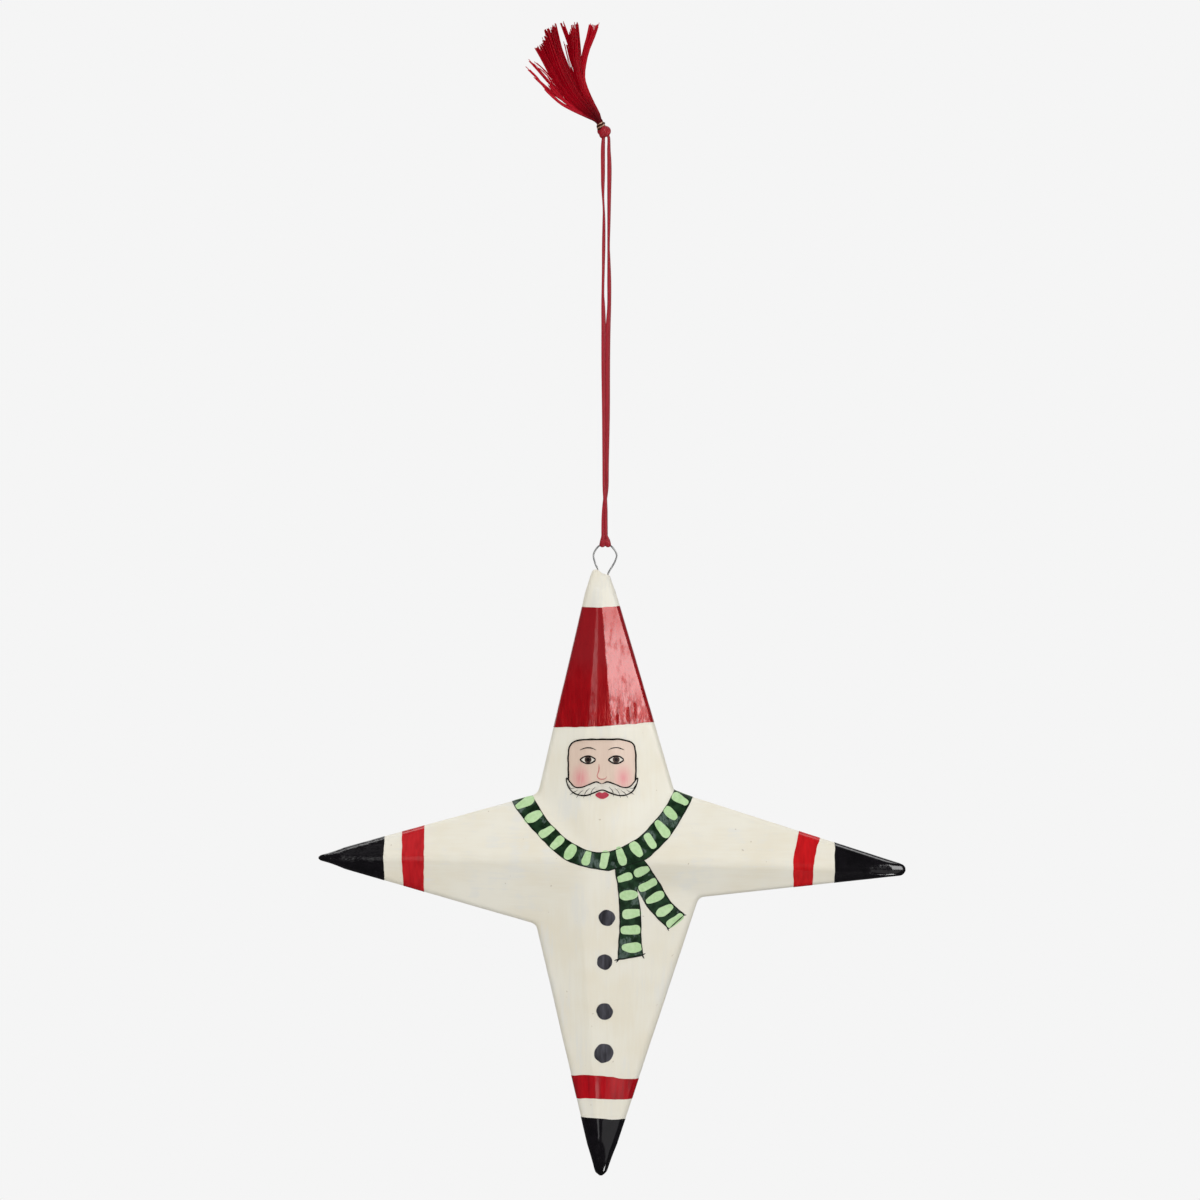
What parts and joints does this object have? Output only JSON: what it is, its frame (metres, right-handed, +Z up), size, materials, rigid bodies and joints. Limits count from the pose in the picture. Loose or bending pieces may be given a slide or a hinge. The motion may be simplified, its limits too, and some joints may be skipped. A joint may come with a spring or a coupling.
{
  "type": "hanging star ornament",
  "caption": "Carved wooden star painted as a bearded winter figure, with a wire eye and a doubled cord that ends in a bound silk tassel.",
  "frame": {"origin": "the hanging point, inside the top of the cord loop just under the knot", "axes": "+Z up along the hanging cord, -Y out of the painted front, +X to the viewer's right when facing the front"},
  "size_m": [0.1469, 0.0198, 0.2889],
  "materials": {
    "painted_wood": "brushed satin paint on carved wood",
    "galvanised_wire": "dull galvanised",
    "red_cord": "twisted satin cord",
    "gold_thread": "metallic thread",
    "red_silk": "loose silk threads"
  },
  "bodies": {
    "cord": {"cord_strand_left": "red_cord", "cord_strand_right": "red_cord", "top_knot": "red_cord"},
    "hitch": {"cord_hitch": "red_cord"},
    "star": {"star_body": "painted_wood", "wire_eye": "galvanised_wire"},
    "tassel": {"gold_binding": "gold_thread", "tassel_threads": "red_silk"}
  },
  "joints": [
    {"name": "star_spin", "type": "hinge", "parent": "cord", "child": "hitch", "pos_m": [0, 0, -0.10135], "axis": [0, 0, 1], "range_deg": [-180, 180]},
    {"name": "star_tilt", "type": "hinge", "parent": "hitch", "child": "star", "pos_m": [0, 0, -0.10135], "axis": [1, 0, 0], "range_deg": [-80, 80]},
    {"name": "tassel_flop", "type": "hinge", "parent": "cord", "child": "tassel", "pos_m": [-0.0001, 0, 0.0015], "axis": [0, 1, 0], "range_deg": [-95, 130]}
  ]
}
